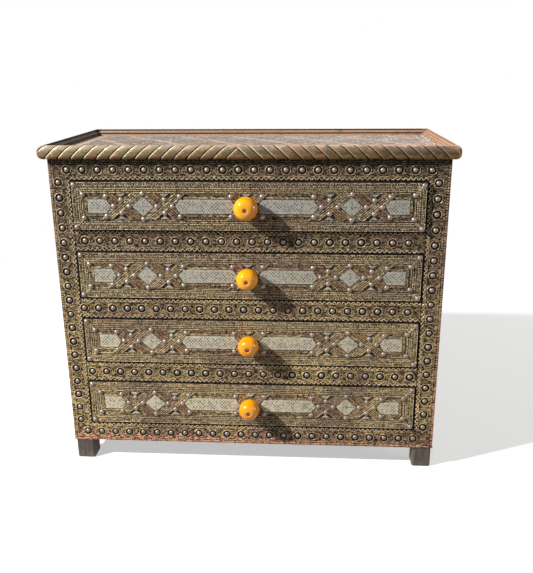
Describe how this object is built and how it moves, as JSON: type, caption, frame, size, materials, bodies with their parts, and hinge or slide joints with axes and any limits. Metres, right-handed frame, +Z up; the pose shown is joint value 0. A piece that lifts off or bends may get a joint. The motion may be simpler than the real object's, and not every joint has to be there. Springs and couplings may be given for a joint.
{
  "type": "chest of drawers",
  "caption": "Low chest of drawers on block feet, clad in embossed metal with round nail heads, engraved bone inlay and amber bead knobs.",
  "frame": {"origin": "on the floor, at the middle of the ground that the whole chest covers, knobs included", "axes": "+X to the viewer's right along the drawer fronts, -Y out of the front, +Z up"},
  "size_m": [0.704, 0.3512, 0.6],
  "materials": {
    "frame_metal": "embossed, olive brass with dark patina",
    "moulding_metal": "embossed in slanted gadroons, worn bright on the ridges",
    "top_metal": "embossed, pinkish grey copper alloy",
    "nail_metal": "dull nickel silver",
    "bone": "engraved camel bone, grey to cream",
    "carcass_wood": "plain sawn softwood",
    "panel_wood": "thin plywood",
    "foot_wood": "dark stained, worn at the base",
    "knob_resin": "polished amber resin",
    "screw_steel": "plain steel"
  },
  "bodies": {
    "carcass": {"left_side_board": "carcass_wood", "right_side_board": "carcass_wood", "left_stile": "carcass_wood", "right_stile": "carcass_wood", "top_rail": "carcass_wood", "divider_rails": "carcass_wood", "bottom_rail": "carcass_wood", "bottom_board": "carcass_wood", "back_panel": "panel_wood", "top_board": "carcass_wood", "drawer_runners": "carcass_wood", "front_top_moulding": "carcass_wood", "left_top_moulding": "carcass_wood", "right_top_moulding": "carcass_wood", "back_top_moulding": "carcass_wood", "moulding_cladding": "moulding_metal", "top_sheet": "top_metal", "left_side_sheet": "frame_metal", "right_side_sheet": "frame_metal", "stile_strips": "frame_metal", "rail_strips": "frame_metal", "frame_studs": "nail_metal", "side_studs": "nail_metal", "feet": "foot_wood"},
    "drawer_1": {"drawer_1_front_board": "carcass_wood", "drawer_1_box_boards": "carcass_wood", "drawer_1_bottom": "panel_wood", "drawer_1_front_sheet": "frame_metal", "drawer_1_bone_inlays": "bone", "drawer_1_bands": "frame_metal", "drawer_1_nails": "nail_metal", "drawer_1_knob": "knob_resin", "drawer_1_knob_screw": "screw_steel"},
    "drawer_2": {"drawer_2_front_board": "carcass_wood", "drawer_2_box_boards": "carcass_wood", "drawer_2_bottom": "panel_wood", "drawer_2_front_sheet": "frame_metal", "drawer_2_bone_inlays": "bone", "drawer_2_bands": "frame_metal", "drawer_2_nails": "nail_metal", "drawer_2_knob": "knob_resin", "drawer_2_knob_screw": "screw_steel"},
    "drawer_3": {"drawer_3_front_board": "carcass_wood", "drawer_3_box_boards": "carcass_wood", "drawer_3_bottom": "panel_wood", "drawer_3_front_sheet": "frame_metal", "drawer_3_bone_inlays": "bone", "drawer_3_bands": "frame_metal", "drawer_3_nails": "nail_metal", "drawer_3_knob": "knob_resin", "drawer_3_knob_screw": "screw_steel"},
    "drawer_4": {"drawer_4_front_board": "carcass_wood", "drawer_4_box_boards": "carcass_wood", "drawer_4_bottom": "panel_wood", "drawer_4_front_sheet": "frame_metal", "drawer_4_bone_inlays": "bone", "drawer_4_bands": "frame_metal", "drawer_4_nails": "nail_metal", "drawer_4_knob": "knob_resin", "drawer_4_knob_screw": "screw_steel"}
  },
  "joints": [
    {"name": "drawer_1_slide", "type": "slide", "parent": "carcass", "child": "drawer_1", "axis": [0, -1, 0], "range_m": [-0.004, 0.206]},
    {"name": "drawer_2_slide", "type": "slide", "parent": "carcass", "child": "drawer_2", "axis": [0, -1, 0], "range_m": [0, 0.21]},
    {"name": "drawer_3_slide", "type": "slide", "parent": "carcass", "child": "drawer_3", "axis": [0, -1, 0], "range_m": [0, 0.21]},
    {"name": "drawer_4_slide", "type": "slide", "parent": "carcass", "child": "drawer_4", "axis": [0, -1, 0], "range_m": [0, 0.21]}
  ]
}
